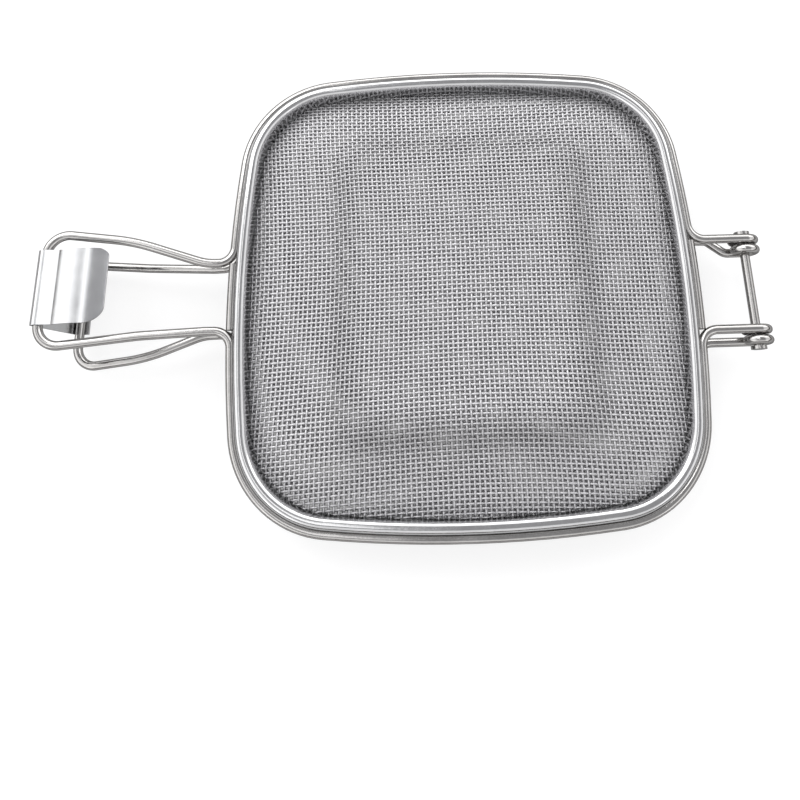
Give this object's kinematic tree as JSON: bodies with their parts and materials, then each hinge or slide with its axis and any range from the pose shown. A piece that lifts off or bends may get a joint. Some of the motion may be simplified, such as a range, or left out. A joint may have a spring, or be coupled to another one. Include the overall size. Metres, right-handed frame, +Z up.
{
  "type": "pie iron",
  "caption": "Hinged pie iron for hot sandwiches: two dished woven-mesh trays in steel wire frames, each with a short wire handle loop, held shut by a sheet clip",
  "frame": {"origin": "centre of the lower tray's flat underside, where the closed iron rests", "axes": "+X towards the hinge (the handle points along -X), +Y across to the far side, +Z up out of the upper tray's flat"},
  "size_m": [0.2378, 0.1554, 0.028],
  "materials": {
    "woven_mesh": "plain-woven stainless wire cloth, bright",
    "polished_sheet": "polished stainless sheet",
    "bright_wire": "bright drawn stainless wire"
  },
  "bodies": {
    "lower_half": {"lower_mesh_tray": "woven_mesh", "lower_rim_hem": "polished_sheet", "lower_rail_far": "bright_wire", "lower_rail_near": "bright_wire", "lower_handle_wire": "bright_wire", "lower_handle_bar": "bright_wire", "lower_hinge_bar": "bright_wire"},
    "upper_half": {"upper_mesh_tray": "woven_mesh", "upper_rim_hem": "polished_sheet", "upper_rail_far": "bright_wire", "upper_rail_near": "bright_wire", "upper_handle_wire": "bright_wire", "upper_handle_bar": "bright_wire", "upper_hinge_bar": "bright_wire"},
    "pin": {"hinge_pin": "bright_wire"},
    "clip": {"latch_clip": "polished_sheet"}
  },
  "joints": [
    {"name": "lid_hinge", "type": "hinge", "parent": "lower_half", "child": "upper_half", "pos_m": [0.09525, 0, 0.014], "axis": [0, 1, 0], "range_deg": [0, 180]},
    {"name": "clip_swing", "type": "hinge", "parent": "upper_half", "child": "clip", "pos_m": [-0.13525, 0, 0.024], "axis": [0, 1, 0], "range_deg": [0, 50]},
    {"name": "pin_spin", "type": "hinge", "parent": "lower_half", "child": "pin", "pos_m": [0.09525, 0, 0.014], "axis": [0, 1, 0], "continuous": true}
  ]
}
